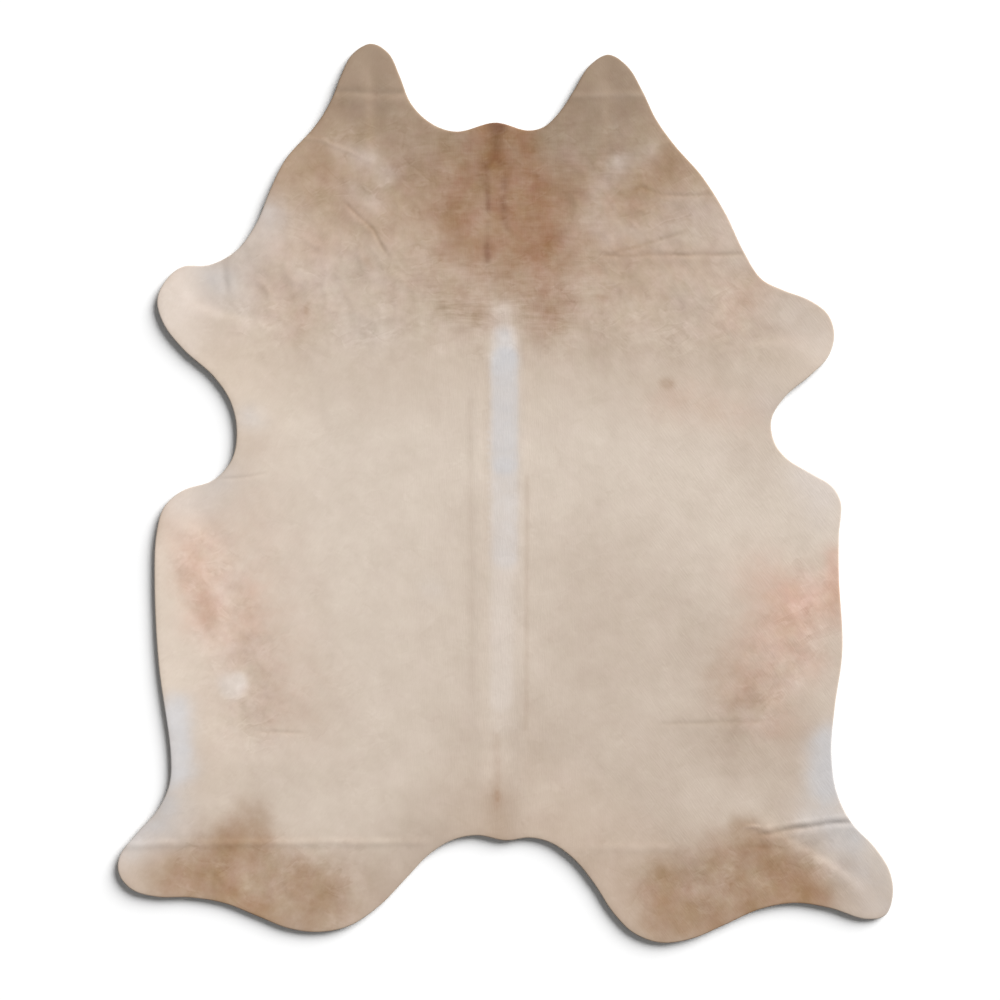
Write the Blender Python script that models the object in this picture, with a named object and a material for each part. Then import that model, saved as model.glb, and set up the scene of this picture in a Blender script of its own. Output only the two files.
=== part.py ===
# A natural cowhide laid flat on the floor, hair side up: one trimmed skin with a short coat.
# Metres, +Z up. The origin is on the floor, at the middle of the footprint; the ears point to +Y.

import math

import bmesh
import bpy
import numpy as np
from mathutils import Vector
from mathutils.geometry import delaunay_2d_cdt

MM = 0.001

# Driving dimensions
LEATHER = 2.2 * MM          # the tanned skin
COAT = 1.8 * MM             # the short hair, pressed flat
EDGE_ROUND = 1.5 * MM       # hair tips round the upper edge over by this much

# The skin has dried stiff, so its edge stands a little off the floor, more in some places than in others
EDGE_LIFT = 9.0 * MM
EDGE_BAND = 90.0 * MM       # how far in from the edge it comes down to the floor
LIFT_LEAST = 0.5            # the lowest places along the edge, as a share of EDGE_LIFT
LIFT_WAVES = ((9, 0.3), (14, 0.2))      # whole waves round the edge, and how strong each set is

# Spacing of the points
CURVE_STEPS = 24            # steps of the smooth curve between two points of the outline
EDGE_STEP = 21.0 * MM
EDGE_ROWS = ((0.25, 2), (0.55, 2), (1.0, 3))    # share of EDGE_BAND, and edge steps from point to point
FOLD_STEP = 30.0 * MM
FOLD_ROWS = (0.0, -0.5, 0.5, -1.0, 1.0)         # offsets from a fold's line, as shares of its reach
GRID_STEP = 46.0 * MM
ROW_GAP = 7.0 * MM          # the least distance between points of the rows
ROW_KEPT = 0.93             # an edge row's point is kept if no edge is nearer than this share of its depth
GRID_GAP = 24.0 * MM        # the least distance from a grid point to any other point
TOUCH = 0.01 * MM           # points nearer than this are one point
CREASE_ANGLE = math.radians(40.0)

COAT_COLOUR = (0.60, 0.51, 0.42, 1.0)
COAT_ROUGHNESS = 0.8

# The trimmed outline, in millimetres: (x, y), anticlockwise from the nape. A smooth curve runs through it.
OUTLINE_MM = {
    "nape": [(-25, 944), (-125, 921)],
    "left ear": [
        (-188, 941), (-241, 992), (-270, 1062), (-298, 1120), (-342, 1145),
        (-390, 1118), (-418, 1065), (-443, 1002), (-482, 938),
    ],
    "left cheek and neck": [(-560, 850), (-600, 770), (-635, 686), (-686, 617), (-755, 581)],
    "left foreleg": [(-824, 576), (-866, 540), (-887, 490), (-871, 430), (-820, 364), (-744, 296)],
    "left elbow bay": [(-701, 232), (-685, 160), (-696, 88), (-742, 34)],
    "left flank": [
        (-824, 5), (-870, -37), (-889, -105), (-894, -210), (-884, -430), (-853, -665),
        (-856, -740), (-885, -805),
    ],
    "left hind shank": [
        (-940, -868), (-983, -926), (-984, -970), (-950, -1010), (-888, -1028), (-800, -1030),
    ],
    "left buttock": [
        (-715, -1045), (-631, -1078), (-555, -1108), (-480, -1118), (-400, -1103),
        (-322, -1052), (-253, -981), (-195, -921),
    ],
    "rump": [(-135, -884), (-72, -872), (0, -885), (60, -878), (115, -891)],
    "right buttock": [
        (175, -934), (225, -995), (272, -1067), (325, -1120), (395, -1145),
        (475, -1134), (560, -1098), (645, -1060), (735, -1044),
    ],
    "right hind shank": [
        (825, -1057), (915, -1085), (966, -1077), (987, -1028), (980, -966), (941, -903),
        (882, -840), (845, -765),
    ],
    "right flank": [
        (831, -665), (839, -550), (859, -400), (850, -215), (850, -110), (855, -25), (833, 16),
    ],
    "right elbow bay": [(775, 52), (718, 87), (686, 128), (678, 188), (712, 245)],
    "right foreleg": [(777, 300), (822, 347), (838, 403), (822, 455), (775, 491), (705, 518)],
    "right neck and cheek": [(652, 546), (606, 617), (562, 710), (500, 808), (432, 885)],
    "right ear": [
        (384, 952), (350, 1022), (312, 1086), (262, 1117), (212, 1086), (174, 1025), (139, 972),
        (98, 933), (55, 924),
    ],
}

# Folds left from storing and wearing, in millimetres: name, form, height, reach to each side, line (x, y).
# A ridge stands up along its line; a valley's line stays down, between two low shoulders.
FOLDS_MM = [
    ("left ear", "valley", 3.5, 26, [(-500, 1024), (-200, 1024)]),
    ("right ear", "ridge", 3.0, 18, [(120, 1009), (430, 1013)]),
    ("left cheek", "ridge", 2.5, 16, [(-550, 906), (-471, 899), (-402, 868), (-345, 845)]),
    ("right cheek", "ridge", 2.5, 16, [(460, 912), (380, 888), (335, 825)]),
    ("left neck", "valley", 2.5, 20, [(-415, 750), (-338, 672), (-300, 600)]),
    ("upper right neck", "valley", 2.5, 20, [(310, 765), (347, 779), (403, 760), (580, 758)]),
    ("lower right neck", "valley", 3.0, 22, [(230, 608), (420, 604), (680, 608)]),
    ("right neck branch", "valley", 2.0, 18, [(270, 618), (380, 646), (460, 674)]),
    ("left foreleg", "ridge", 2.0, 18, [(-722, 610), (-705, 490)]),
    ("left of the spine", "ridge", 1.6, 32, [(-76, 370), (-68, -250), (-62, -850)]),
    ("right of the spine", "ridge", 1.6, 32, [(45, 450), (43, -200), (42, -780)]),
    ("left hip", "ridge", 1.8, 18, [(-640, -608), (-500, -608)]),
    ("right hip", "valley", 2.0, 18, [(385, -591), (665, -583)]),
    ("left hock", "ridge", 4.5, 20, [(-1040, -900), (-866, -893), (-180, -890)]),
    ("right buttock", "ridge", 1.8, 18, [(140, -893), (480, -901)]),
    ("right hock", "valley", 5.0, 28, [(600, -880), (677, -867), (831, -837), (970, -826)]),
    ("below the right hock", "valley", 2.2, 18, [(600, -902), (715, -899)]),
]


def smooth_loop(points, step):
    """Points about every step metres along a closed smooth curve through the given points."""
    dense = []
    for i in range(len(points)):
        p0, p1, p2, p3 = (points[(i + k) % len(points)] for k in (-1, 0, 1, 2))
        # Centripetal knots keep the curve free of loops where the points are unevenly spaced
        t1 = math.dist(p0, p1) ** 0.5
        t2 = t1 + math.dist(p1, p2) ** 0.5
        t3 = t2 + math.dist(p2, p3) ** 0.5
        for t in np.linspace(t1, t2, CURVE_STEPS, endpoint=False):
            a1 = (t1 - t) / t1 * p0 + t / t1 * p1
            a2 = (t2 - t) / (t2 - t1) * p1 + (t - t1) / (t2 - t1) * p2
            a3 = (t3 - t) / (t3 - t2) * p2 + (t - t2) / (t3 - t2) * p3
            b1 = (t2 - t) / t2 * a1 + t / t2 * a2
            b2 = (t3 - t) / (t3 - t1) * a2 + (t - t1) / (t3 - t1) * a3
            dense.append((t2 - t) / (t2 - t1) * b1 + (t - t1) / (t2 - t1) * b2)
    dense = np.array(dense + dense[:1])
    along = np.append(0.0, np.cumsum(np.linalg.norm(np.diff(dense, axis=0), axis=1)))
    places = np.linspace(0.0, along[-1], round(along[-1] / step), endpoint=False)
    return np.stack([np.interp(places, along, dense[:, k]) for k in (0, 1)], axis=1)


def segment_distance(points, start, end):
    """Distance of each point from a straight piece, and where along the piece it lies, 0 to 1."""
    run = end - start
    share = np.clip((points - start) @ run / (run @ run), 0.0, 1.0)
    off = points - (start + share[:, None] * run)
    return np.linalg.norm(off, axis=1), share


def fold_lift(points):
    """How far each fold raises the skin at each point."""
    lift = np.zeros(len(points))
    for _, form, height, reach, line in FOLDS_MM:
        line = np.array(line) * MM
        lengths = np.linalg.norm(np.diff(line, axis=0), axis=1)
        nearest = np.full(len(points), np.inf)
        place = np.zeros(len(points))
        for i, length in enumerate(lengths):
            distance, share = segment_distance(points, line[i], line[i + 1])
            closer = distance < nearest
            nearest[closer] = distance[closer]
            place[closer] = (lengths[:i].sum() + share * length)[closer]
        from_end = np.minimum(place, lengths.sum() - place)
        fade = np.clip(from_end / (2.0 * reach * MM), 0.0, 1.0)
        turn = np.pi * np.clip(nearest / (reach * MM), 0.0, 1.0)
        section = 0.5 + 0.5 * np.cos(turn) if form == "ridge" else 0.5 - 0.5 * np.cos(2.0 * turn)
        lift = np.maximum(lift, height * MM * fade * section)
    return lift


def edge_lift(points, rim):
    """How far the stiff edge stands off the floor at each point."""
    gaps = np.linalg.norm(points[:, None, :] - rim[None, :, :], axis=2)
    nearest = gaps.argmin(axis=1)
    turn = 2.0 * np.pi * nearest / len(rim)
    wave = 0.5 + sum(strength * np.sin(count * turn) for count, strength in LIFT_WAVES)
    fall = np.clip(1.0 - gaps.min(axis=1) / EDGE_BAND, 0.0, 1.0) ** 2
    return EDGE_LIFT * fall * (LIFT_LEAST + (1.0 - LIFT_LEAST) * wave)


def inside(points, loop):
    """Which points lie inside a closed loop, by the even-odd rule."""
    within = np.zeros(len(points), dtype=bool)
    for (x1, y1), (x2, y2) in zip(loop, np.roll(loop, -1, axis=0)):
        spans = (y1 > points[:, 1]) != (y2 > points[:, 1])
        if spans.any():
            cross = x1 + (points[:, 1] - y1) / (y2 - y1) * (x2 - x1)
            within ^= spans & (points[:, 0] < cross)
    return within


def fold_points():
    """Rows of points along each fold: its line, its feet and a row half way down each side."""
    rows = []
    for _, _, _, reach, line in FOLDS_MM:
        line = np.array(line) * MM
        for start, end in zip(line[:-1], line[1:]):
            run = end - start
            length = np.linalg.norm(run)
            side = np.array([-run[1], run[0]]) / length * reach * MM
            count = math.ceil(length / FOLD_STEP)
            for place in (np.arange(count) + 0.5) / count:
                rows += [start + place * run + offset * side for offset in FOLD_ROWS]
    return np.array(rows)


def edge_points(rim):
    """Rows of points that follow the edge, where the skin comes down to the floor."""
    along = np.roll(rim, -1, axis=0) - np.roll(rim, 1, axis=0)
    inward = np.stack([-along[:, 1], along[:, 0]], axis=1) / np.linalg.norm(along, axis=1)[:, None]
    rows = []
    for share, every in EDGE_ROWS:
        row = (rim + share * EDGE_BAND * inward)[::every]
        gaps = np.linalg.norm(row[:, None, :] - rim[None, :, :], axis=2).min(axis=1)
        rows.append(row[gaps > ROW_KEPT * share * EDGE_BAND])
    return np.vstack(rows)


def grid_points(low, high):
    """A field of evenly spaced points in staggered rows between two corners."""
    row_step = GRID_STEP * math.sqrt(3.0) / 2.0
    rows = []
    for j, y in enumerate(np.arange(low[1], high[1], row_step)):
        shift = 0.5 * GRID_STEP * (j % 2)
        rows += [(x + shift, y) for x in np.arange(low[0], high[0], GRID_STEP)]
    return np.array(rows)


def add_points(placed, points, gap):
    """The placed points, and each of the others that keeps the gap to all before it."""
    for point in points:
        if np.linalg.norm(placed - point, axis=1).min() >= gap:
            placed = np.vstack([placed, point])
    return placed


def make_skin():
    """The whole hide: a flat sheet of triangles, raised along its folds and edge, then thickened."""
    outline = np.array([point for stretch in OUTLINE_MM.values() for point in stretch]) * MM
    rim = smooth_loop(outline, EDGE_STEP)
    rim -= (rim.min(axis=0) + rim.max(axis=0)) / 2.0

    spots = rim
    grid = grid_points(rim.min(axis=0), rim.max(axis=0))
    for points, gap in ((fold_points(), ROW_GAP), (edge_points(rim), ROW_GAP), (grid, GRID_GAP)):
        spots = add_points(spots, points[inside(points, rim)], gap)

    flat, _, faces, *_ = delaunay_2d_cdt([Vector(spot) for spot in spots], [], [range(len(rim))], 1, TOUCH)
    spots = np.array(flat)
    heights = fold_lift(spots) + edge_lift(spots, rim)

    bm = bmesh.new()
    verts = [bm.verts.new((x, y, z)) for (x, y), z in zip(spots, heights)]
    under = [bm.faces.new([verts[i] for i in face]) for face in faces]
    raised = bmesh.ops.extrude_face_region(bm, geom=under, use_keep_orig=True)["geom"]
    upper = {item for item in raised if isinstance(item, bmesh.types.BMVert)}
    bmesh.ops.translate(bm, verts=list(upper), vec=(0.0, 0.0, LEATHER + COAT))
    bmesh.ops.recalc_face_normals(bm, faces=bm.faces)

    top = {face for face in bm.faces if upper.issuperset(face.verts)}
    brim = [edge for edge in bm.edges if len(top.intersection(edge.link_faces)) == 1]
    bmesh.ops.bevel(bm, geom=brim, offset=EDGE_ROUND, segments=1, affect="EDGES")
    bmesh.ops.triangulate(bm, faces=bm.faces)

    mesh = bpy.data.meshes.new("hide")
    bm.to_mesh(mesh)
    bm.free()
    mesh.shade_smooth()
    mesh.set_sharp_from_angle(angle=CREASE_ANGLE)
    return mesh


def coat_material():
    """Short pale cow hair, with hardly any shine."""
    material = bpy.data.materials.new("cow hair")
    material.use_nodes = True
    shader = material.node_tree.nodes["Principled BSDF"]
    shader.inputs["Base Color"].default_value = COAT_COLOUR
    shader.inputs["Roughness"].default_value = COAT_ROUGHNESS
    shader.inputs["Metallic"].default_value = 0.0
    return material


def main():
    for item in list(bpy.data.objects):
        bpy.data.objects.remove(item, do_unlink=True)
    hide = bpy.data.objects.new("hide", make_skin())
    hide.data.materials.append(coat_material())
    bpy.context.scene.collection.objects.link(hide)


main()
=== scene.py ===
# A hair-on cowhide rug laid flat on a white studio floor, hair side up, seen straight from above.
# Metres, +Z up, ears to +Y. The numbers in the dictionaries are millimetres unless they say otherwise.
import math

import bmesh
import bpy
import numpy as np
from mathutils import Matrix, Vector, noise
from mathutils.geometry import delaunay_2d_cdt


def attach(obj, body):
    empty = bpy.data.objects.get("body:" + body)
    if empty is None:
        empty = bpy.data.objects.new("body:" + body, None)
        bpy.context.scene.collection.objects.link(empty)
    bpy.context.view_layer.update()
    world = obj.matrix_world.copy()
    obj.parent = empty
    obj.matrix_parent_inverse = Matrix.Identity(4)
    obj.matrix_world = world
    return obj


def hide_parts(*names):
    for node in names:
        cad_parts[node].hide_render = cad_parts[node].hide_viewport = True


mm = 0.001

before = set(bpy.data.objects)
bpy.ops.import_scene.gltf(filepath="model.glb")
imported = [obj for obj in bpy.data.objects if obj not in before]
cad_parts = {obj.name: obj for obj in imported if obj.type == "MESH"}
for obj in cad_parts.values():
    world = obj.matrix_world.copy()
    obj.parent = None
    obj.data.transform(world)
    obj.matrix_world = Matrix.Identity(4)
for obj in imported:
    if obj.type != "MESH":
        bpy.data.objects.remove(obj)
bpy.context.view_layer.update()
print("frame loaded")


# Colours and nodes
def hexToLinear(code):
    # An sRGB hex code as linear red, green, blue and a full alpha
    parts = [int(code[i:i + 2], 16) / 255 for i in (1, 3, 5)]
    return [c / 12.92 if c <= 0.04045 else ((c + 0.055) / 1.055) ** 2.4 for c in parts] + [1.0]


def addNode(tree, kind, settings, inputs, out=0):
    # inputs: a socket's name or number, and its value or the socket to link from. A Mix of colours has
    # them at 6 and 7, and the mixed one comes out at 2.
    node = tree.nodes.new("ShaderNode" + kind)
    for key, value in settings.items():
        setattr(node, key, value)
    for key, value in inputs.items():
        if isinstance(value, bpy.types.NodeSocket):
            tree.links.new(value, node.inputs[key])
        else:
            node.inputs[key].default_value = value
    return node.outputs[out]


def startMaterial(name):
    # A new material with its nodes and its shader
    material = bpy.data.materials.new(name)
    material.use_nodes = True
    tree = material.node_tree
    return material, tree, tree.nodes["Principled BSDF"]


def addObject(name, data):
    made = bpy.data.objects.new(name, data)
    bpy.context.scene.collection.objects.link(made)
    return made


# The skin
skin = {
    "leather": 2.2,                 # thickness of the tanned skin
    "coat": 1.8,                    # depth of the flattened hair
    "weld": 0.05,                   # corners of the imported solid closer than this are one
    "rimSplit": 4,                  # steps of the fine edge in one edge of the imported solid
    "nape": (-25, 944),             # the edge is counted from here
    "topStep": 10.5,                # between points of the hair side
    "fineStep": 5.9,                # the same, where the skin is wrinkled
    "fineFrom": 0.42,               # how mottled a place is that gets the fine step
    "topRoom": 0.62,                # points keep this share of their step to those placed before
    "underStep": 26.0,              # between points of the flesh side
    "underRoom": 0.6,               # the same share there
    "edgeRows": (0.9, 2.2, 4.5),    # rows of points just inside the edge, where the hair rounds over
    "edgeRoom": 0.5,                # they keep this far from those placed before
    "foldRows": (0, 2.6, 5.4, 9.0, 13.5, 19.0),     # rows of points to both sides of each fold's line
    "foldRoom": 2.2,                # they keep this far from those placed before
    "foldStep": 7.0,                # between the points of such a row
    "foldWander": (3.5, 70, (21.0, 22.0)),      # how far they stray from their lines, wave length, seeds
    "foldUneven": (0.85, 0.6, 60, 23.0),        # share of their height: middle, swing, wave length, seed
    "foldEnds": 4,                  # they fade in over so many times their reach
    "foldShoulders": 4,             # the sides of a valley fade out over so many times its reach
    "foldShadingWidth": {"ridge": 0.45, "valley": 0.9},     # width of the painted highlight on ridges and painted shade in valleys, in reaches
    "edgeLift": 16.5,               # the stiff edge stands off the floor by up to this much
    "edgeBand": 225.0,              # it comes down to the floor over this width
    "edgeCurve": 1.6,               # 1 is an even slope, and above 1 it rises most at the edge
    "liftTowards": 225,             # degrees from +X towards +Y: the edges on this side stand highest
    "liftFacing": (0.6, 0.8),       # share of edgeLift square to that side, and what facing it adds
    "liftLeast": 0.12,              # the lowest share
    "liftBlend": 45.0,              # heights of neighbouring edges run into each other over this width
    "liftLevel": 0.9,               # the waves swing about this share
    "liftWaves": ((9, 0.06), (14, 0.04)),           # whole waves round the edge, and their strength
    "nap": 0.28,                    # unevenness of the hair
    "napWaves": ((0.6, 28, 3.0), (0.4, 13, 7.0)),   # its parts: share, size and a seed
    "rimShade": (0.14, 4),          # painted shade along the trimmed edge: how much darker, and how far in
    "sharp": 55,                    # degrees: edges that turn by more than this stay crisp
    "wrinkle": 0.9,                 # height of the fine wrinkles
    "wrinkleNets": ((0.6, 90, 0.15, 12.0), (0.4, 46, 0.2, 13.0)),   # share, size, width and a seed
    # where they are: strength, radius, line and how sharply each place ends, as in coat below
    "wrinkled": [
        (1.0, 120, [(230, 760), (330, 640)], 2),
        (1.0, 120, [(-480, 680), (-330, 600)], 2),
        (0.9, 120, [(-600, 520), (-350, 520)], 2),
        (0.7, 120, [(380, 560), (500, 480)], 2),
        (0.4, 250, [(-250, 850), (250, 850)], 2),
        (0.5, 90, [(-760, -970), (-460, -1010)], 2),
        (0.5, 90, [(450, -1000), (720, -960)], 2),
        (0.5, 110, [(-740, -200), (-640, -600)], 2),
        (0.5, 110, [(760, -280), (620, -560)], 2),
    ],
}

# Folds from storing and wearing: form, height, reach to each side, how much painted highlight (above 0)
# or painted shade (below 0) goes into the hair's colour along the line, line. A ridge stands up along
# its line and mostly gets a painted highlight. A valley's line stays down between two low shoulders and
# gets painted shade.
folds = {
    "leftEar": ("valley", 1.7, 11, 0.03, [(-500, 1021), (-200, 1019)]),
    "rightEar": ("ridge", 0.8, 16, 0.09, [(120, 1011), (430, 1016)]),
    "leftCheek": ("ridge", 0.48, 10, 0.05, [(-550, 906), (-471, 901), (-402, 870), (-345, 847)]),
    "rightCheek": ("ridge", 0.4, 9, 0.03, [(460, 906), (380, 884), (335, 821)]),
    "leftNeck": ("valley", 0.8, 6, -0.14, [(-418, 748), (-338, 672), (-300, 600)]),
    "upperRightNeck": ("valley", 0.7, 6, -0.10, [(310, 763), (347, 779), (403, 760), (580, 758)]),
    "lowerRightNeck": ("valley", 0.95, 7, -0.14, [(230, 606), (420, 607), (680, 610)]),
    "rightNeckBranch": ("valley", 0.8, 6, -0.14, [(265, 612), (380, 640), (460, 668)]),
    "leftForeleg": ("valley", 0.96, 10, -0.13, [(-722, 610), (-705, 490)]),
    "leftElbow": ("valley", 0.4, 5, -0.05, [(-735, 33), (-600, 52)]),
    "leftOfSpine": ("ridge", 0.48, 32, 0.01, [(-76, 370), (-68, -250), (-62, -850)]),
    "rightOfSpine": ("ridge", 0.48, 32, 0.0, [(45, 450), (43, -200), (42, -780)]),
    "leftHip": ("valley", 0.56, 6, -0.07, [(-650, -608), (-500, -611)]),
    "rightHip": ("valley", 0.64, 7, -0.10, [(385, -589), (665, -581)]),
    "leftHock": ("ridge", 1.3, 17, -0.01, [(-1040, -903), (-866, -893), (-180, -890)]),
    "rightButtock": ("ridge", 0.8, 20, 0.05, [(140, -903), (480, -905)]),
    "rightHock": ("valley", 3.5, 8, -0.24, [(636, -872), (690, -864), (831, -842), (990, -826)]),
    "aboveRightHock": ("ridge", 1.3, 9, 0.07, [(600, -853), (684, -846), (855, -819), (960, -806)]),
    "underRightHock": ("ridge", 0.8, 9, 0.05, [(640, -886), (700, -878), (820, -862)]),
    "belowRightHock": ("valley", 0.8, 7, -0.09, [(600, -904), (715, -899)]),
}

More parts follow.
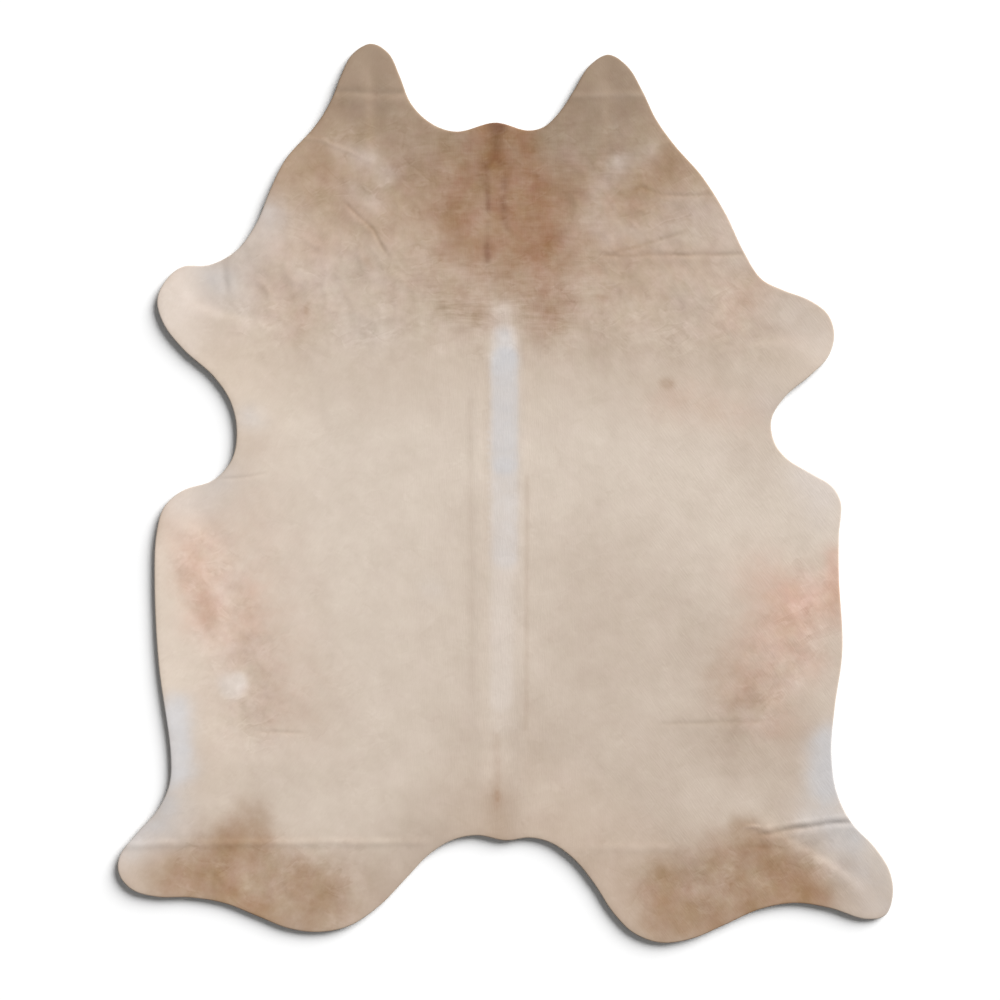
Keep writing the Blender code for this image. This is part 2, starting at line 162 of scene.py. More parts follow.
# The coat's colours, and where each lies: strength, radius (or the radii at both ends), line, and how
# sharply it ends. At 2 a place fades out softly from its line, and at 9 its border is crisp.
coat = {
    "cream": "#d1c2b3",             # the lightest hair, over the ribs
    "fawn": "#a99380",              # darker hair of the back and the rump
    "tan": "#ab927a",               # warm darker hair of the neck
    "taupe": "#947e69",             # greyish hair of the ears
    "rose": "#cca48f",              # thin hair over pink skin
    "cinnamon": "#8e6740",          # hind legs and cheeks
    "chestnut": "#8d5c31",          # the dark line of the neck
    "umber": "#6b4023",             # its darkest spots
    "milk": "#d7cbc2",              # pale hair of the forelegs and belly edge
    "ice": "#c6c5c7",               # bluish white hair
    "neckShade": (136, 748, 0.95),  # the tan deepens between these places along the spine, to this much
    "ragged": {                     # how broken the edges of each colour are
        "fawn": 0.2, "tan": 0.2, "taupe": 0.3, "rose": 0.5, "cinnamon": 0.45, "chestnut": 0.5,
        "umber": 0.8, "milk": 0.4, "ice": 0.4,
    },
    "blotches": 22,                 # to the metre, so 45 mm wide: they break those edges
    "wander": (8, ((130, 1.0), (45, 2.0))),     # the places stray by this, in waves: size and a seed
    "otherSeed": 4,                 # added to a seed for a second pattern that goes with the first
    "calm": (200, 0.3, 0.12),       # they stray less at the spine: width, share taken off, least share
    "lie": 37,                      # degrees that the hair of the sides leans out from the spine
    "ribs": 450,                    # from this far out the hair lies wholly to the side
    "lock": (3.2, 26),              # width and length of the locks
    "level": (55, 9),               # length and spacing of the level lines over the withers
    "partings": ((24, 2.0), (-30, 7.0)),        # degrees from +X of the lines where the hair parts, seed
    "parting": (120, 46),           # their length and spacing
    "partSharp": 30.0,              # the higher, the thinner they are
    "partShown": (7, -3.4),         # they come and go: contrast, and what is taken off
    "part": 0.14,                   # how strongly they show
    "tones": 10,                    # to the metre, so 100 mm wide: lighter and darker mottling
    "mottle": 0.85,                 # how strongly the tones show
    "tints": 16,                    # to the metre, so 60 mm wide: pinker and more olive hair
    "hue": 0.045,                   # how strongly the tints show
    "strand": 0.07,                 # how strongly the locks show in the colour
    "lines": 0.65,                  # how strongly the level lines show
    "depth": (-0.7, 1.7),           # depth of colour: slope over the brightness, and start
    "relief": 0.6,                  # height of the locks
    "roughest": 0.32,               # how mottled the smooth back is, as a share of the neck
    "mottled": [
        (1.0, 300, [(-350, 800), (350, 800)], 2),
        (0.9, 150, [(-600, 480), (600, 460)], 2),
        (1.0, 130, [(-780, -960), (-450, -1010)], 2),
        (1.0, 130, [(430, -1010), (760, -950)], 2),
        (0.9, 120, [(-760, -180), (-640, -560)], 2),
        (0.9, 120, [(780, -260), (620, -560)], 2),
    ],
    "withers": [
        (1.0, 45, [(-140, 475), (-75, 450)], 2),
        (0.8, 50, [(45, 475), (130, 435)], 2),
        (0.5, 80, [(-190, 560), (190, 540)], 2),
        (0.4, 110, [(-150, 880), (250, 840)], 2),
        (0.4, 90, [(-120, 760), (180, 680)], 2),
    ],
    "places": {
        "fawn": [
            (0.36, 190, [(230, -230), (230, -560)], 2),         # back, right of the spine
            (0.30, 150, [(480, -350), (640, -620)], 2),
            (0.35, 100, [(600, -420), (560, -640)], 2),
            (0.50, 170, [(-160, -900), (420, -930)], 2),        # rump
            # painted shade along the edge of the tail bay
            (0.30, 55, [(-110, -850), (120, -850)], 2),
            (0.25, 60, [(200, -950), (280, -1030)], 2),
            (0.16, 60, [(-78, -60), (-72, -760)], 2),
            (0.22, 110, [(-110, -640), (-100, -780)], 2),
            (0.25, 110, [(110, -720), (300, -860)], 2),
            (0.25, 60, [(-390, -940), (-340, -960)], 2),
            (0.20, 70, [(340, -700), (400, -730)], 2),
            (0.50, 45, [(-890, -42), (-880, -75)], 2),
            (0.20, 50, [(-745, 465), (-725, 455)], 2),
            (0.20, 50, [(735, 395), (750, 390)], 2),
            (0.20, 60, [(395, -620), (430, -612)], 2),
            (0.20, 60, [(615, 100), (650, 92)], 2),
            (0.35, 48, [(-690, 148), (-645, 128)], 2),          # painted shade in the inner corners of the bays
            (0.25, 45, [(700, 428), (735, 442)], 2),
            (0.28, 45, [(850, -320), (846, -430)], 2),
            (0.30, 60, [(-905, -922), (-860, -916)], 2),
            (0.25, 40, [(690, -802), (700, -812)], 2),
            (0.25, 36, [(-968, -100), (-988, -300), (-966, -560)], 2),      # painted shade along the left edge, against the light that the raised edge catches
            (0.15, 70, [(100, 420), (200, 390)], 2),            # right shoulder
            (0.18, 150, [(180, 430), (420, 320)], 2),
            (0.20, 150, [(-600, -450), (-450, -650)], 2),       # left belly
            (0.12, 100, [(-216, -250), (-216, -500)], 2),
            (0.20, 80, [(-740, -700), (-640, -760)], 2),
            (0.30, 60, [(-640, -470), (-590, -560)], 2),
            (0.20, 120, [(650, -650), (720, -350)], 2),         # right belly
            (0.18, 60, [(555, -610), (600, -640)], 2),
            (0.35, 90, [(740, -620), (790, -830)], 2),          # right hock
            (0.30, 80, [(-830, -600), (-830, -800)], 2),        # left hock
            (0.60, 120, [(-960, -950), (-900, -980)], 2),       # hind shanks
            (0.35, 90, [(850, -1010), (890, -1040)], 2),
            (0.20, 60, [(885, -1010), (910, -1020)], 2),
            (0.60, 120, [(-560, -1080), (-300, -1040)], 2),     # painted shade along the trimmed edge of the buttocks
            (0.70, 110, [(300, -1080), (420, -1110)], 2),
            (0.13, 8, [(-91, 240), (-88, -520)], 2),            # thin lines of painted shade beside the spine
            (0.20, 7, [(46, 390), (47, 330)], 2),
            (0.28, 7, [(54, 40), (52, -600)], 2),
            (0.15, 7, [(-46, 330), (-47, -120)], 2),
            (0.85, 44, [(-20, -790), (-20, -880)], 2),          # tail root
            (0.25, 60, [(60, -560), (70, -700)], 2),
        ],
        "tan": [
            (0.30, 90, [(-540, 900), (-430, 890)], 2),          # cheeks
            (0.25, 90, [(480, 880), (380, 900)], 2),
            (0.20, 50, [(-650, 735), (-615, 705)], 2),          # shoulders
            (0.78, 50, [(400, 700), (490, 682)], 2),
            (0.20, 70, [(325, 465), (400, 555), (575, 525)], 2),
            (0.60, 50, [(-440, 885), (-424, 905)], 2),
            (0.18, 80, [(-400, 880), (-336, 740)], 2),
            (0.15, 80, [(405, 550), (470, 690)], 2),
        ],
        "taupe": [
            (0.92, 94, [(-370, 1120), (-358, 1030)], 2),
            (0.90, 110, [(260, 1110), (250, 1010)], 2),
            (0.80, 70, [(-385, 1095), (-370, 1050)], 2),
            (0.50, 70, [(205, 1095), (215, 1045)], 2),
            (0.62, 80, [(855, -975), (905, -1025), (950, -1070)], 2),
            (0.25, 60, [(-975, -950), (-930, -975)], 2),
            (0.12, 100, [(-330, 945), (-300, 905)], 2),
            (0.45, 110, [(260, 960), (240, 890)], 2),
            (0.50, 110, [(-230, 880), (200, 880)], 2),
            (0.30, 45, [(-520, -1085), (-450, -1075)], 2),
            (0.25, 60, [(150, -930), (190, -935)], 2),
            # painted shade along the left edge of the neck
            (0.75, 42, [(-645, 735), (-610, 700)], 2),
        ],
        "rose": [
            (0.20, 150, [(-700, -100), (-600, -500)], 2),       # left flank
            (0.50, 58, [(-790, -180), (-765, -300)], 2),
            (0.18, 55, [(-760, -330), (-690, -370)], 2),
            (0.28, 45, [(-650, -260), (-650, -330)], 2),
            (0.25, 60, [(-820, -110), (-780, -100)], 2),
            (0.60, 28, [(842, -160), (842, -240)], 2),          # right flank
            (0.66, 70, [(740, -270), (830, -270)], 2),
            (0.35, 75, [(650, -220), (720, -290)], 2),
            (0.45, 70, [(715, -330), (760, -420)], 2),
            (0.30, 70, [(640, -380), (600, -480)], 2),
            (0.25, 60, [(680, -480), (700, -580)], 2),
            (0.20, 50, [(620, 520), (560, 440)], 2),            # shoulders
            (0.20, 60, [(-620, 520), (-520, 450)], 2),
            (0.20, 60, [(420, 230), (640, 200)], 2),
            (0.20, 70, [(-600, 640), (-480, 600)], 2),
            (0.10, 190, [(200, 640), (600, 620)], 2),
            (0.10, 160, [(-330, 740), (-90, 640)], 2),
        ],
        "cinnamon": [
            (0.48, 105, [(-800, -970), (-590, -980), (-480, -1025)], 2),    # left hind leg
            (0.50, 58, [(-655, -838), (-690, -868)], 2.5),
            (0.44, 44, [(-705, -898), (-640, -900)], 2.5),
            (0.38, 62, [(-770, -935), (-700, -945)], 2.5),
            (0.40, 56, [(-850, -990), (-750, -1000)], 2.5),
            (0.62, 40, [(-700, -1030), (-625, -1066)], 2.5),
            (0.22, 50, [(-640, -950), (-600, -915)], 2),
            (0.34, 50, [(-515, -965), (-460, -990)], 2.5),
            (0.22, 55, [(-490, -1045), (-470, -1085)], 2),
            (0.25, 42, [(-640, -1078), (-570, -1088)], 2),
            (0.54, 105, [(430, -1010), (740, -985)], 2),        # right hind leg
            (0.50, 42, [(612, -864), (640, -886)], 2.5),
            (0.40, 50, [(550, -908), (680, -915)], 2.5),
            (0.48, 64, [(715, -960), (745, -1005)], 3),
            (0.45, 50, [(690, -1035), (795, -1040)], 2.5),
            (0.28, 36, [(782, -970), (790, -1025)], 3),
            (0.26, 50, [(555, -945), (640, -950)], 2),
            (0.45, 34, [(600, -1000), (610, -1050)], 2.5),
            (0.34, 48, [(405, -985), (385, -1015)], 2.5),
            (0.46, 34, [(420, -1045), (465, -1062)], 2.5),
            (0.40, 46, [(390, -1110), (530, -1105)], 2),
            (0.48, 50, [(540, -1090), (645, -1070)], 2),
            (0.34, 50, [(-460, 825), (-420, 806)], 2),          # cheeks
            (0.10, 50, [(-260, 765), (-200, 745)], 2),
            (0.34, 50, [(425, 850), (365, 790)], 2),
            (0.20, 48, [(330, 760), (430, 755)], 2),
            (0.20, 40, [(250, 635), (340, 640)], 2),
            (0.26, 38, [(4, 640), (8, 520)], 2),                # above the stripe
            (0.20, 24, [(-825, -215), (-780, -240)], 2),        # flanks
            (0.22, 28, [(-772, -295), (-750, -335)], 2),
            (0.15, 55, [(556, -455), (612, -560)], 2.5),
            (0.40, 13, [(400, 280), (420, 275)], 2),            # spots of the shoulders
            (0.30, 11, [(240, 502), (255, 498)], 2),
            (0.30, 10, [(402, 503), (412, 500)], 2),
            (0.35, 12, [(-355, 592), (-345, 575)], 2),
            (0.35, 8, [(-500, 486), (-500, 466)], 2),
        ],
        "chestnut": [
            (0.45, 46, [(-32, 925), (-22, 860)], 2),            # about the nape
            (0.52, 40, [(50, 905), (58, 830)], 2),
            (0.40, 62, [(-110, 830), (-105, 640)], 2),
            (0.46, 32, [(-25, 860), (-25, 640)], 2),
            (0.35, 30, [(8, 800), (25, 670)], 2),
            (0.14, 60, [(-150, 570), (-60, 505)], 2),
            (0.62, 64, [(78, 760), (84, 640)], 2.5),
            (0.26, 44, [(30, 618), (90, 600)], 2),
            (0.38, 56, [(90, 570), (108, 445)], 2),
            (0.18, 80, [(215, 740), (190, 560)], 2),
            (0.12, 50, [(50, 480), (130, 470)], 2),
            (0.32, 50, [(-150, 690), (-70, 640)], 2),
            (0.16, 50, [(-60, 590), (30, 560)], 2),
            (0.50, 40, [(-62, 935), (24, 935)], 2),
            (0.18, 45, [(-130, 490), (-70, 450)], 2),
            (0.16, 130, [(-140, 820), (140, 720)], 2),
            (0.14, 9, [(-23, -620), (-22, -800)], 2),           # tail line
            (0.25, 8, [(-22, -762), (-22, -780)], 2),
        ],
        "umber": [
            (0.75, 17, [(-34, 941), (-14, 934)], 2.5),          # nape
            (0.60, 16, [(-26, 916), (-22, 880)], 2),
            (0.25, 9, [(-52, 838), (-30, 855), (-9, 838)], 2.5),
            (0.28, 9, [(-46, 825), (-46, 722)], 2),             # two dark lines down the neck
            (0.26, 6, [(-47, 762), (-47, 720)], 2),
            (0.20, 8, [(-46, 690), (-47, 645)], 2),
            (0.42, 9, [(-48, 632), (-46, 592)], 2),
            (0.36, 11, [(-3, 800), (-6, 776)], 2),
            (0.40, 11, [(-7, 752), (-4, 726)], 2),
            (0.26, 9, [(-2, 700), (2, 674)], 2),
        ],
        "milk": [
            (0.65, 110, [(-870, 490), (-720, 530)], 2),         # left foreleg
            (0.60, 60, [(-665, 622), (-610, 690)], 2),
            (0.10, 60, [(-560, 620), (-520, 690)], 2),
            (0.28, 60, [(-500, 548), (-460, 540)], 2),
            (0.30, 60, [(-380, 420), (-335, 412)], 2),
            (0.20, 60, [(-400, 582), (-345, 570)], 2),
            (0.65, 45, [(-778, 568), (-755, 560)], 2),
            (0.20, 50, [(455, 500), (500, 478)], 2),
            (0.25, 50, [(-830, 400), (-800, 372)], 2),
            (0.25, 40, [(-385, 768), (-350, 756)], 2),
            (0.55, 60, [(-820, -30), (-780, -20)], 2),
            (0.60, 40, [(-748, 30), (-722, 36)], 2),
            (0.35, 55, [(800, -10), (815, -60)], 2),
            (0.70, 50, [(765, 50), (805, 5)], 2),
            (0.25, 40, [(668, 224), (690, 214)], 2),
            (0.25, 42, [(880, -900), (910, -940)], 2),
            (0.38, 80, [(800, 390), (740, 470)], 2),            # right foreleg
            (0.30, 48, [(400, 662), (475, 655)], 2),
            (0.28, 40, [(440, 735), (475, 730)], 2),
            (0.30, 60, [(600, 600), (540, 700)], 2),
            (0.14, 26, [(-430, 880), (-350, 850)], 2),          # pale wedges of the neck
            (0.26, 30, [(-370, 858), (-300, 812)], 2),
            (0.22, 26, [(370, 880), (290, 845)], 2),
            (0.22, 28, [(290, 840), (235, 765)], 2),
            (0.25, 40, [(220, 700), (260, 660)], 2),
            (0.22, 20, [(310, 670), (340, 660)], 2),
            (0.42, 30, [(-8, 462), (-4, 400)], 2),              # stripe down the spine
            (0.50, 33, [(-5, 400), (-5, -150)], 9),
            (0.30, 44, [(0, 380), (0, -170)], 5),
            (0.34, 30, [(-8, -190), (-12, -530)], 6),
            (0.20, 38, [(-4, -190), (-6, -580)], 3),
            (0.80, 34, [(-706, -488), (-694, -488)], 4),        # star on the left flank
            (0.35, 30, [(-195, -241), (-185, -241)], 2),
            (0.45, 60, [(-985, -925), (-925, -865), (-840, -850)], 2),
        ],
        "ice": [
            (0.55, (20, 36), [(-6, 400), (-3, 340)], 3),        # upper part of the stripe
            (0.60, 35, [(-3, 340), (-3, 80)], 7),
            (0.30, 34, [(-2, 60), (-2, -160)], 6),
            (0.80, 50, [(-842, -560), (-838, -700)], 3),
            (0.80, 54, [(825, -640), (820, -740)], 3),
            (0.26, 90, [(880, -920), (910, -960), (950, -1040)], 2),
            (0.55, 50, [(-950, -868), (-880, -830), (-860, -790)], 2),
            (0.50, 60, [(800, -830), (880, -860)], 2),
            (0.25, 34, [(-745, 550), (-722, 540)], 2),
            # painted shade along the left edge of the neck, with the taupe there
            (0.20, 40, [(-640, 735), (-610, 710)], 2),
            (0.30, 32, [(-652, 195), (-640, 190)], 2),
        ],
    },
}


def smoothRim(loop, split):
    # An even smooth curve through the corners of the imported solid's edge
    a, b, c, d = (np.roll(loop, k, axis=0) for k in (1, 0, -1, -2))
    rows = []
    for t in np.arange(split) / split:
        rows.append(0.5 * (2 * b + (c - a) * t + (2 * a - 5 * b + 4 * c - d) * t ** 2
                           + (3 * b - a - 3 * c + d) * t ** 3))
    return np.stack(rows, axis=1).reshape(-1, 2)


def readRim(node):
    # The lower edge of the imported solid, anticlockwise from the nape
    bm = bmesh.new()
    bm.from_mesh(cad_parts[node].data)
    bmesh.ops.remove_doubles(bm, verts=bm.verts, dist=skin["weld"] * mm)
    bm.normal_update()
    beside = {}
    facesDown = -0.5
    for edge in bm.edges:
        under = [face.normal.z < facesDown for face in edge.link_faces]
        if sorted(under) == [False, True]:
            for vert, other in (edge.verts, reversed(edge.verts)):
                beside.setdefault(vert, []).append(other)
    start = min(beside, key=lambda v: (v.co.xy - Vector(skin["nape"]) * mm).length)
    loop = [start]
    while True:
        ahead = [v for v in beside[loop[-1]] if v not in loop[-2:] and v is not start]
        if not ahead or (len(loop) > 2 and start in beside[loop[-1]]):
            break
        loop.append(ahead[0])
    points = np.array([v.co.xy for v in loop])
    bm.free()
    x, y = points.T
    if np.sum(x * np.roll(y, -1) - np.roll(x, -1) * y) < 0:
        points = np.vstack([points[:1], points[:0:-1]])
    return smoothRim(points, skin["rimSplit"])


def rimStand(outward):
    # How high each place of the edge stands, as a share of edgeLift
    towards = math.radians(skin["liftTowards"])
    facing = outward @ np.array([math.cos(towards), math.sin(towards)])
    turn = 2 * np.pi * np.arange(len(outward)) / len(outward)
    wave = sum(strength * np.sin(waves * turn) for waves, strength in skin["liftWaves"])
    middle, more = skin["liftFacing"]
    return np.clip(middle + more * facing, skin["liftLeast"], 1) * (skin["liftLevel"] + wave)


def edgeHeight(points, rim, stand):
    # For each point, its distance from the edge, and how high the stiff edge lifts it
    gap = np.empty(len(points))
    lift = np.empty(len(points))
    batch = 4000    # points at a time, to spare memory
    for i in range(0, len(points), batch):
        part = points[i:i + batch]
        far = (part[:, :1] - rim[:, 0]) ** 2 + (part[:, 1:] - rim[:, 1]) ** 2
        least = far.min(axis=1)
        share = np.exp((least[:, None] - far) / (skin["liftBlend"] * mm) ** 2)
        gap[i:i + batch] = np.sqrt(least)
        lift[i:i + batch] = share @ stand / share.sum(axis=1)
    fall = np.clip(1 - gap / (skin["edgeBand"] * mm), 0, 1) ** skin["edgeCurve"]
    return gap, skin["edgeLift"] * mm * lift * fall


def lineDistance(points, line):
    # Distance from a line of straight pieces, and how far along it the nearest place is
    lengths = np.linalg.norm(np.diff(line, axis=0), axis=1)
    nearest = np.full(len(points), np.inf)
    place = np.zeros(len(points))
    for i, length in enumerate(lengths):
        run = line[i + 1] - line[i]
        share = np.clip((points - line[i]) @ run / length ** 2, 0, 1)
        away = np.linalg.norm(points - line[i] - share[:, None] * run, axis=1)
        closer = away < nearest
        nearest[closer] = away[closer]
        place[closer] = (lengths[:i].sum() + share * length)[closer]
    return nearest, place, lengths.sum()


def foldHeight(points):
    # The folds' height, and the painted highlight or shade that they add to the hair's colour
    lift = np.zeros(len(points))
    shade = np.zeros(len(points))
    stray, wave, seeds = skin["foldWander"]
    wander = np.stack([noiseAt(points, wave, seed) for seed in seeds], axis=1)
    strayed = points + stray * mm * wander
    middle, swing, wave, seed = skin["foldUneven"]
    uneven = middle + swing * noiseAt(points, wave, seed)
    for form, height, reach, tone, line in folds.values():
        away, place, whole = lineDistance(strayed, np.array(line, float) * mm)
        fade = np.clip(np.minimum(place, whole - place) / (skin["foldEnds"] * reach * mm), 0, 1) * uneven
        off = away / (reach * mm)
        if form == "ridge":
            section = 0.5 + 0.5 * np.cos(np.pi * np.clip(off, 0, 1))
        else:
            section = (1 - np.exp(-off ** 2)) * np.exp(-(off / skin["foldShoulders"]) ** 2)
        lift = np.maximum(lift, height * mm * fade * section)
        # painted highlight (tone above 0) or painted shade (tone below 0) along the fold's line
        shade = shade + tone * fade * np.exp(-(off / skin["foldShadingWidth"][form]) ** 2)
    return lift, shade


def insideLoop(points, loop):
    # Which points lie inside a closed outline
    within = np.zeros(len(points), bool)
    tiny = 1e-30    # a level piece of the outline would divide by zero
    for (x1, y1), (x2, y2) in zip(loop, np.roll(loop, -1, axis=0)):
        spans = np.flatnonzero((y1 > points[:, 1]) != (y2 > points[:, 1]))
        cross = x1 + (points[spans, 1] - y1) / (y2 - y1 + tiny) * (x2 - x1)
        within[spans[points[spans, 0] < cross]] ^= True
    return within


def keepApart(placed, points, gap):
    # Of the points, those that keep the gap to the placed ones, found on a grid of cells
    cells = {}
    kept = []
    for known, group in ((True, placed), (False, points)):
        for x, y in group:
            cell = (int(x // gap), int(y // gap))
            near = any((x - u) ** 2 + (y - v) ** 2 < gap ** 2
                       for i in (-1, 0, 1) for j in (-1, 0, 1)
                       for u, v in cells.get((cell[0] + i, cell[1] + j), ()))
            if known or not near:
                cells.setdefault(cell, []).append((x, y))
                if not known:
                    kept.append((x, y))
    return np.array(kept)


def staggered(low, high, step):
    # A grid of even triangles between two corners
    rows = []
    for j, y in enumerate(np.arange(low[1], high[1], step * math.sqrt(3) / 2)):
        xs = np.arange(low[0] + 0.5 * step * (j % 2), high[0], step)
        rows.append(np.stack([xs, np.full(len(xs), y)], axis=1))
    return np.vstack(rows)


def foldRows():
    # Points along each fold, in rows beside its line, so that the mesh follows it
    rows = []
    for _, _, _, _, line in folds.values():
        line = np.array(line, float) * mm
        for start, end in zip(line[:-1], line[1:]):
            run = end - start
            length = np.linalg.norm(run)
            side = np.array([-run[1], run[0]]) / length * mm
            for place in np.arange(0.5, length / (skin["foldStep"] * mm)):
                spot = start + place * skin["foldStep"] * mm * run / length
                rows += [spot + sign * away * side for away in skin["foldRows"] for sign in (1, -1)]
    return np.unique(np.round(rows, 6), axis=0)


def fillOutline(rim, extra, step, share):
    # Triangles inside the edge, with the edge's own points first, then the extra ones, then a grid
    grid = staggered(rim.min(axis=0), rim.max(axis=0), step * mm)
    spots = rim
    for points, room in extra + [(grid, share * step * mm)]:
        points = points[insideLoop(points, rim)]
        spots = np.vstack([spots, keepApart(spots, points, room)])
    flat = [Vector(p) for p in spots.tolist()]
    insideOnly = 1
    same = 0.001 * mm   # points closer than this are one
    made = delaunay_2d_cdt(flat, [], [range(len(rim))], insideOnly, same)
    points, _, faces, source, _, _ = made
    order = {}
    for i, came in enumerate(source):
        for j in came:
            order[j] = i
    return np.array(points), np.array(faces), np.array([order[j] for j in range(len(rim))])


def noiseAt(points, size, seed):
    # Smooth noise, about -1 to 1, with features of this size in millimetres
    scale = 1 / (size * mm)
    return np.array([noise.noise(Vector((x * scale, y * scale, seed))) for x, y in points.tolist()])


def placesField(points, places):
    # How strongly a colour shows at each point
    field = np.zeros(len(points))
    for strength, radius, line, power in places:
        away, place, whole = lineDistance(points, np.array(line, float) * mm)
        first, last = radius if isinstance(radius, tuple) else (radius, radius)
        reach = (first + (last - first) * place / whole) * mm
        field = field + (1 - field) * strength * np.exp(-(away / reach) ** power)
    return field


def wrinkleHeight(points):
    # A net of shallow wrinkles over neck, shoulders, flanks and legs
    net = sum(share * np.exp(-(noiseAt(points, size, seed) / thin) ** 2)
              for share, size, thin, seed in skin["wrinkleNets"])
    return skin["wrinkle"] * mm * placesField(points, skin["wrinkled"]) * net


def makeSkin():
    # One closed mesh: the hair side, the flesh side under it and the cut edge between them
    rim = readRim("hide")
    along = np.roll(rim, -1, axis=0) - np.roll(rim, 1, axis=0)
    inward = np.stack([-along[:, 1], along[:, 0]], axis=1) / np.linalg.norm(along, axis=1)[:, None]
    edgeRows = np.vstack([rim + depth * mm * inward for depth in skin["edgeRows"]])
    print("outline read:", len(rim), "points")

    fine = staggered(rim.min(axis=0), rim.max(axis=0), skin["fineStep"] * mm)
    fine = fine[placesField(fine, coat["mottled"]) > skin["fineFrom"]]
    extra = [(edgeRows, skin["edgeRoom"] * mm), (foldRows(), skin["foldRoom"] * mm),
             (fine, skin["topRoom"] * skin["fineStep"] * mm)]
    top, topFaces, topRim = fillOutline(rim, extra, skin["topStep"], skin["topRoom"])
    under, underFaces, underRim = fillOutline(rim, [], skin["underStep"], skin["underRoom"])
    print("sheets filled:", len(topFaces), "and", len(underFaces), "triangles")

    stand = rimStand(-inward)
    gap, raised = edgeHeight(top, rim, stand)
    lift, paintedShadeAndHighlight = foldHeight(top)
    rounding = np.clip(gap / (skin["edgeRows"][-1] * mm), 0, 1)
    coatDepth = skin["coat"] * mm * np.sqrt(1 - (1 - rounding) ** 2)
    waves = sum(share * noiseAt(top, size, seed) for share, size, seed in skin["napWaves"])
    nap = skin["nap"] * mm * waves + wrinkleHeight(top)
    # painted shade along the trimmed edge, darkest at the rim
    shade, depth = skin["rimShade"]
    paintedShadeAndHighlight = paintedShadeAndHighlight - shade * np.exp(-gap / (depth * mm))
    topHeight = raised + lift + skin["leather"] * mm + coatDepth + nap * rounding
    underHeight = edgeHeight(under, rim, stand)[1] + foldHeight(under)[0]

    count = len(top)
    topNext, underNext = np.roll(topRim, -1), np.roll(underRim, -1)
    wall = [(underRim[i] + count, underNext[i] + count, topNext[i], topRim[i]) for i in range(len(rim))]
    verts = np.vstack([np.column_stack([top, topHeight]), np.column_stack([under, underHeight])])
    faces = [tuple(f) for f in topFaces.tolist()]
    faces += [(c + count, b + count, a + count) for a, b, c in underFaces.tolist()]
    faces += wall
    mesh = bpy.data.meshes.new("hide_skin")
    mesh.from_pydata(verts.tolist(), [], faces)
    slots = np.repeat([0, 1, 2], [len(topFaces), len(underFaces), len(wall)])
    mesh.polygons.foreach_set("material_index", slots.astype(np.int32))
    mesh.shade_smooth()
    mesh.set_sharp_from_angle(angle=math.radians(skin["sharp"]))
    placeColours(mesh, top, paintedShadeAndHighlight)
    return mesh


def placeColours(mesh, top, paintedShadeAndHighlight):
    # What the hair's material reads at each point: how strong each colour is, how the hair lies, and the
    # painted shade and highlight of the folds and the edge
    stray, waves = coat["wander"]
    warp = np.stack([sum(stray * noiseAt(top, size, seed + side) for size, seed in waves)
                     for side in (0, coat["otherSeed"])], axis=1) * mm
    # the stripe down the spine has straight edges
    width, less, least = coat["calm"]
    spots = top + warp * np.clip(np.abs(top[:, :1]) / (width * mm) - less, least, 1)
    fields = {name: placesField(spots, places) for name, places in coat["places"].items()}
    first, last, most = coat["neckShade"]
    neck = np.clip((spots[:, 1] / mm - first) / (last - first), 0, 1)
    fields["tan"] = fields["tan"] + (1 - fields["tan"]) * most * neck
    left, right = (np.clip(sign * top[:, 0] / (coat["ribs"] * mm), 0, 1) for sign in (-1, 1))
    fields.update(lieLeft=left, lieRight=right, lieBack=1 - left - right)
    fields["mottled"] = np.maximum(placesField(spots, coat["mottled"]), coat["roughest"])
    fields["withers"] = placesField(spots, coat["withers"])
    fields["paintedShadeAndHighlight"] = paintedShadeAndHighlight
    for name, field in fields.items():
        values = np.zeros(len(mesh.vertices), np.float32)
        values[:len(top)] = field
        mesh.attributes.new(name, "FLOAT", "POINT").data.foreach_set("value", values)
    print("colours placed")


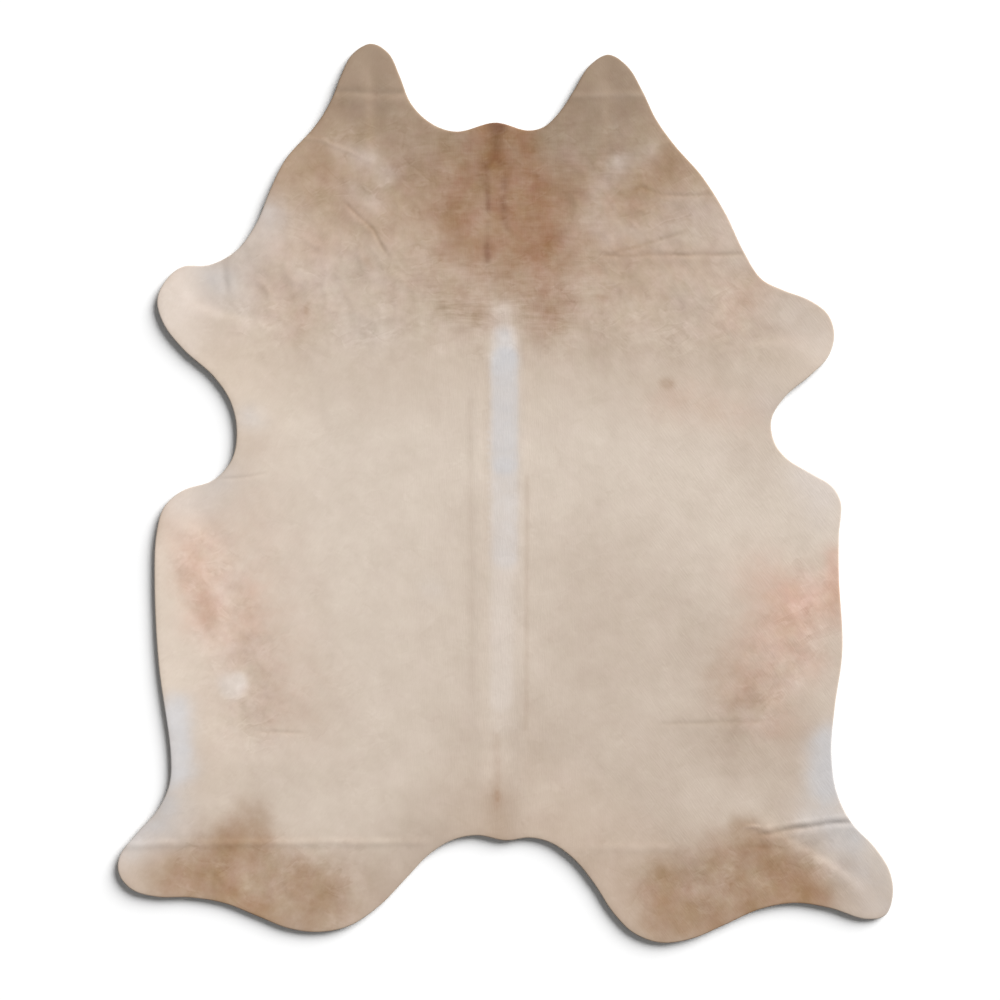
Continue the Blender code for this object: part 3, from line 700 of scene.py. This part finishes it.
def hairMaterial():
    # Short cow hair, combed flat on the tanned skin: matt, with a faint sheen along the strands
    material, tree, shader = startMaterial("cow_hair_flat")
    spot = addNode(tree, "TexCoord", {}, {}, "Object")
    names = [*coat["places"], "lieBack", "lieLeft", "lieRight", "mottled", "withers", "paintedShadeAndHighlight"]
    field = {name: addNode(tree, "Attribute", {"attribute_name": name}, {}, "Fac") for name in names}

    # Blotches break up the edges of the colours, most where a colour is half there. A share times what
    # is left of it is a quarter at most, which full brings up to 1.
    full = 4
    blotch = addNode(tree, "TexNoise", {},
                     {"Vector": spot, "Scale": coat["blotches"], "Detail": 4, "Roughness": 0.6})
    offset = addNode(tree, "Math", {"operation": "SUBTRACT"}, {0: blotch, 1: 0.5})
    colour = hexToLinear(coat["cream"])
    for name, spread in coat["ragged"].items():
        other = addNode(tree, "Math", {"operation": "SUBTRACT"}, {0: 1.0, 1: field[name]})
        half = addNode(tree, "Math", {"operation": "MULTIPLY"}, {0: field[name], 1: other})
        shake = addNode(tree, "Math", {"operation": "MULTIPLY"}, {0: half, 1: offset})
        share = addNode(tree, "Math", {"operation": "MULTIPLY_ADD", "use_clamp": True},
                        {0: shake, 1: full * spread, 2: field[name]})
        colour = addNode(tree, "Mix", {"data_type": "RGBA"},
                         {0: share, 6: colour, 7: hexToLinear(coat[name])}, 2)

    # Combed strands: noise drawn out along the lie of the hair. Real hairs are 0.06 mm thick and here
    # the locks are drawn coarser, so that they show.
    strands = 0.0
    wide, long = coat["lock"]
    for lie, angle in (("lieBack", 0), ("lieLeft", -coat["lie"]), ("lieRight", coat["lie"])):
        along = addNode(tree, "Mapping", {"vector_type": "TEXTURE"},
                        {"Vector": spot, "Rotation": (0, 0, math.radians(angle)),
                         "Scale": (wide * mm, long * mm, wide * mm)})
        lock = addNode(tree, "TexNoise", {},
                       {"Vector": along, "Scale": 1, "Detail": 3, "Roughness": 0.6})
        strands = addNode(tree, "Math", {"operation": "MULTIPLY_ADD"},
                          {0: lock, 1: field[lie], 2: strands})
    # Folds of the skin across the withers part the hair in short level lines
    long, apart = coat["level"]
    level = addNode(tree, "Mapping", {"vector_type": "TEXTURE"},
                    {"Vector": spot, "Scale": (long * mm, apart * mm, apart * mm)})
    lines = addNode(tree, "TexNoise", {}, {"Vector": level, "Scale": 1, "Detail": 3, "Roughness": 0.55})
    levelRelief = addNode(tree, "Math", {"operation": "MULTIPLY"}, {0: lines, 1: field["withers"]})

    # Where the skin wrinkles, the hair parts in thin crooked lines, drawn as painted shade on one side
    # of each line and a painted highlight on the other
    partings = 0.0
    long, apart = coat["parting"]
    for angle, seed in coat["partings"]:
        along = addNode(tree, "Mapping", {"vector_type": "TEXTURE"},
                        {"Vector": spot, "Rotation": (0, 0, math.radians(angle)),
                         "Scale": (long * mm, apart * mm, apart * mm)})
        run = addNode(tree, "TexNoise", {"noise_dimensions": "4D"},
                      {"Vector": along, "W": seed, "Scale": 1, "Detail": 3, "Roughness": 0.55,
                       "Distortion": 0.3})
        away = addNode(tree, "Math", {"operation": "MULTIPLY_ADD"},
                       {0: run, 1: coat["partSharp"], 2: -coat["partSharp"] / 2})
        # a bell curve times the distance: painted shade on one side of the line, painted highlight on
        # the other
        square = addNode(tree, "Math", {"operation": "MULTIPLY"}, {0: away, 1: away})
        fall = addNode(tree, "Math", {"operation": "POWER"}, {0: math.exp(-1), 1: square})
        slope = addNode(tree, "Math", {"operation": "MULTIPLY"}, {0: away, 1: fall})
        # the lines come and go
        contrast, taken = coat["partShown"]
        patch = addNode(tree, "TexNoise", {"noise_dimensions": "4D"},
                        {"Vector": spot, "W": seed + coat["otherSeed"], "Scale": 1 / (apart * mm),
                         "Detail": 1})
        shown = addNode(tree, "Math", {"operation": "MULTIPLY_ADD", "use_clamp": True},
                        {0: patch, 1: contrast, 2: taken})
        partings = addNode(tree, "Math", {"operation": "MULTIPLY_ADD"},
                           {0: slope, 1: shown, 2: partings})

    # Mottling in tone and, in smaller patches, in hue. Every term: a pattern, the middle that is taken
    # off it, how strongly it shows, and where.
    tone = addNode(tree, "TexNoise", {},
                   {"Vector": spot, "Scale": coat["tones"], "Detail": 4, "Roughness": 0.68})
    tint = addNode(tree, "TexNoise", {"noise_dimensions": "4D"},
                   {"Vector": spot, "W": 3.0, "Scale": coat["tints"], "Detail": 3, "Roughness": 0.6})
    # the painted shade and highlight of the folds and the edge darken or lighten the colour here
    value = addNode(tree, "Math", {"operation": "ADD"}, {0: 1.0, 1: field["paintedShadeAndHighlight"]})
    hue = 0.5
    for pattern, middle, strength, where in ((tone, 0.5, coat["mottle"], field["mottled"]),
                                             (strands, 0.5, coat["strand"], 1.0),
                                             (lines, 0.5, coat["lines"], field["withers"]),
                                             (partings, 0.0, coat["part"], field["mottled"]),
                                             (tint, 0.5, coat["hue"], field["mottled"])):
        swing = addNode(tree, "Math", {"operation": "SUBTRACT"}, {0: pattern, 1: middle})
        most = addNode(tree, "Math", {"operation": "MULTIPLY"}, {0: where, 1: strength})
        term = addNode(tree, "Math", {"operation": "MULTIPLY"}, {0: swing, 1: most})
        if pattern is tint:
            hue = addNode(tree, "Math", {"operation": "ADD"}, {0: term, 1: 0.5})
        else:
            value = addNode(tree, "Math", {"operation": "ADD"}, {0: term, 1: value})
    # darker hair is browner, lighter hair whiter
    fall, start = coat["depth"]
    depth = addNode(tree, "Math", {"operation": "MULTIPLY_ADD"}, {0: value, 1: fall, 2: start})
    finish = addNode(tree, "HueSaturation", {},
                     {"Hue": hue, "Saturation": depth, "Value": value, "Color": colour})
    tree.links.new(finish, shader.inputs["Base Color"])

    relief = addNode(tree, "Math", {"operation": "ADD"}, {0: strands, 1: levelRelief})
    bump = addNode(tree, "Bump", {},
                   {"Strength": 0.5, "Distance": coat["relief"] * mm, "Height": relief})
    tree.links.new(bump, shader.inputs["Normal"])
    shader.inputs["Roughness"].default_value = 0.72
    shader.inputs["IOR"].default_value = 1.55
    shader.inputs["Sheen Weight"].default_value = 0.12
    shader.inputs["Sheen Roughness"].default_value = 0.5
    return material


# The flesh side and the cut edge
flesh = {
    "fibre": "#ab9a82",             # bare fibre
    "shaved": "#d3c9bb",            # whiter, where more was shaved off
    "patches": 7,                   # to the metre, so about 150 mm wide
    "fibres": 60,                   # to the metre, coarser than real so that they show
    "patchWeight": 3.0,             # the patches count for this many times the fibres
    "contrast": (0.45, -0.4),       # and what is taken off
    "relief": 0.4,                  # height of the fibres
}


def fleshMaterial():
    # The flesh side, shaved thin and buffed like suede: pale, dry and matt, in soft patches
    material, tree, shader = startMaterial("buffed_flesh_side")
    spot = addNode(tree, "TexCoord", {}, {}, "Object")
    patch = addNode(tree, "TexNoise", {},
                    {"Vector": spot, "Scale": flesh["patches"], "Detail": 4, "Roughness": 0.6})
    fibre = addNode(tree, "TexNoise", {},
                    {"Vector": spot, "Scale": flesh["fibres"], "Detail": 8, "Roughness": 0.7})
    both = addNode(tree, "Math", {"operation": "MULTIPLY_ADD"},
                   {0: patch, 1: flesh["patchWeight"], 2: fibre})
    contrast, taken = flesh["contrast"]
    share = addNode(tree, "Math", {"operation": "MULTIPLY_ADD", "use_clamp": True},
                    {0: both, 1: contrast, 2: taken})
    colour = addNode(tree, "Mix", {"data_type": "RGBA"},
                     {0: share, 6: hexToLinear(flesh["fibre"]), 7: hexToLinear(flesh["shaved"])}, 2)
    bump = addNode(tree, "Bump", {},
                   {"Strength": 0.5, "Distance": flesh["relief"] * mm, "Height": fibre})
    tree.links.new(bump, shader.inputs["Normal"])
    tree.links.new(colour, shader.inputs["Base Color"])
    shader.inputs["Roughness"].default_value = 0.95
    return material


cutEdge = {
    "dark": "#a08c76",
    "light": "#bba88f",
    "fibre": 4,                     # width of the fibre bundles, coarser than real so that they show
}


def edgeMaterial():
    # The trimmed edge of the leather, cut with a knife: bare fibres, a little darker than the flesh side
    material, tree, shader = startMaterial("cut_leather_edge")
    spot = addNode(tree, "TexCoord", {}, {}, "Object")
    fibre = addNode(tree, "TexNoise", {},
                    {"Vector": spot, "Scale": 1 / (cutEdge["fibre"] * mm), "Detail": 4})
    colour = addNode(tree, "Mix", {"data_type": "RGBA"},
                     {0: fibre, 6: hexToLinear(cutEdge["dark"]), 7: hexToLinear(cutEdge["light"])}, 2)
    tree.links.new(colour, shader.inputs["Base Color"])
    shader.inputs["Roughness"].default_value = 0.85
    return material


hide = addObject("hide_skin", makeSkin())
for material in (hairMaterial(), fleshMaterial(), edgeMaterial()):
    hide.data.materials.append(material)
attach(hide, "root")
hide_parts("hide")
print("hide made")


# Floor, camera and light
studio = {
    "floor": "#ffffff",
    "floorSize": 14.0,              # metres
    "floorDrop": 0.3,               # the hide lies this far above the floor, so that the two don't mix
    "eye": (-0.0150, -0.0178),      # metres: the camera is straight above this place
    "view": 2.55,                   # metres across the picture, at the height of the hair
    "lens": 85.0,
    "sensor": 36.0,
    "sun": 5.48,                    # strength of the key light
    "sunSize": 44.0,                # degrees, a large softbox
    "sunFrom": (45.0, 30.0),        # degrees from +X towards +Y, and above the floor
    "sky": 0.18,                    # strength of the light from all round
    "skyColour": "#ffffff",
}


def makeFloor():
    half = studio["floorSize"] / 2
    corners = [(-half, -half, 0), (half, -half, 0), (half, half, 0), (-half, half, 0)]
    mesh = bpy.data.meshes.new("studio_floor")
    mesh.from_pydata(corners, [], [(0, 1, 2, 3)])
    floor = addObject("studio_floor", mesh)
    floor.location.z = -studio["floorDrop"] * mm
    # Matt white painted board: no gloss, so it shows nothing but the hide's soft shadow
    material, _, shader = startMaterial("matt_painted_floor")
    shader.inputs["Base Color"].default_value = hexToLinear(studio["floor"])
    shader.inputs["Roughness"].default_value = 0.9
    mesh.materials.append(material)


def makeCamera():
    data = bpy.data.cameras.new("camera")
    data.lens = studio["lens"]
    data.sensor_width = studio["sensor"]
    camera = addObject("camera", data)
    height = studio["view"] * studio["lens"] / studio["sensor"]
    camera.location = (*studio["eye"], height + (skin["leather"] + skin["coat"]) * mm)
    bpy.context.scene.camera = camera


def makeLight():
    data = bpy.data.lights.new("key", "SUN")
    data.energy = studio["sun"]
    data.angle = math.radians(studio["sunSize"])
    key = addObject("key", data)
    turned, up = (math.radians(a) for a in studio["sunFrom"])
    towards = Vector((math.cos(turned) * math.cos(up), math.sin(turned) * math.cos(up), math.sin(up)))
    key.rotation_mode = "QUATERNION"
    key.rotation_quaternion = towards.to_track_quat("Z", "Y")
    world = bpy.data.worlds.new("studio")
    bpy.context.scene.world = world
    world.use_nodes = True
    sky = world.node_tree.nodes["Background"]
    sky.inputs["Color"].default_value = hexToLinear(studio["skyColour"])
    sky.inputs["Strength"].default_value = studio["sky"]


makeFloor()
makeCamera()
makeLight()
bpy.context.scene.view_settings.view_transform = "Standard"
print("studio set")
